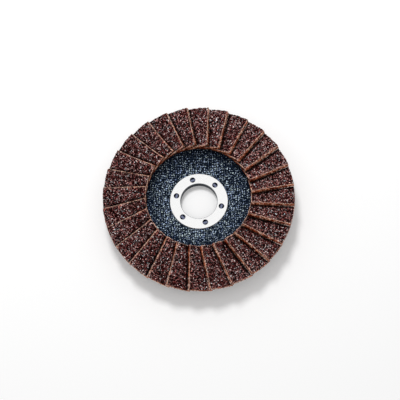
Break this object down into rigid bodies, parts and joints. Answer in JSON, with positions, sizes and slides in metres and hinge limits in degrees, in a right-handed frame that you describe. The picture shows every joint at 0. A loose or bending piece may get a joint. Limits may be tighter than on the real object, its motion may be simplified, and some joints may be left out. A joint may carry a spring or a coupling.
{
  "type": "flap disc",
  "caption": "Depressed-centre abrasive flap disc: thick brown flaps shingled on a dished glass-fibre plate with a pressed steel centre ring.",
  "frame": {"origin": "on the bore's axis at the lowest face of the hub, which the disc rests on", "axes": "+Z along the spindle axis, the working face looks up; a flap's raised edge points near +Y and the flaps repeat every 12.857 degrees"},
  "size_m": [0.115, 0.115, 0.0175],
  "materials": {
    "glass_fibre_laminate": "woven glass cloth in dark phenolic resin",
    "plated_steel": "bright zinc-plated pressed steel",
    "epoxy": "cured dark epoxy",
    "abrasive_web": "coarse brown abrasive grain in a fibre web, with tan cut edges"
  },
  "bodies": {
    "root": {"backing_plate": "glass_fibre_laminate", "centre_ring": "plated_steel", "adhesive_bed": "epoxy", "flap_01": "abrasive_web", "flap_02": "abrasive_web", "flap_03": "abrasive_web", "flap_04": "abrasive_web", "flap_05": "abrasive_web", "flap_06": "abrasive_web", "flap_07": "abrasive_web", "flap_08": "abrasive_web", "flap_09": "abrasive_web", "flap_10": "abrasive_web", "flap_11": "abrasive_web", "flap_12": "abrasive_web", "flap_13": "abrasive_web", "flap_14": "abrasive_web", "flap_15": "abrasive_web", "flap_16": "abrasive_web", "flap_17": "abrasive_web", "flap_18": "abrasive_web", "flap_19": "abrasive_web", "flap_20": "abrasive_web", "flap_21": "abrasive_web", "flap_22": "abrasive_web", "flap_23": "abrasive_web", "flap_24": "abrasive_web", "flap_25": "abrasive_web", "flap_26": "abrasive_web", "flap_27": "abrasive_web", "flap_28": "abrasive_web"}
  },
  "joints": []
}
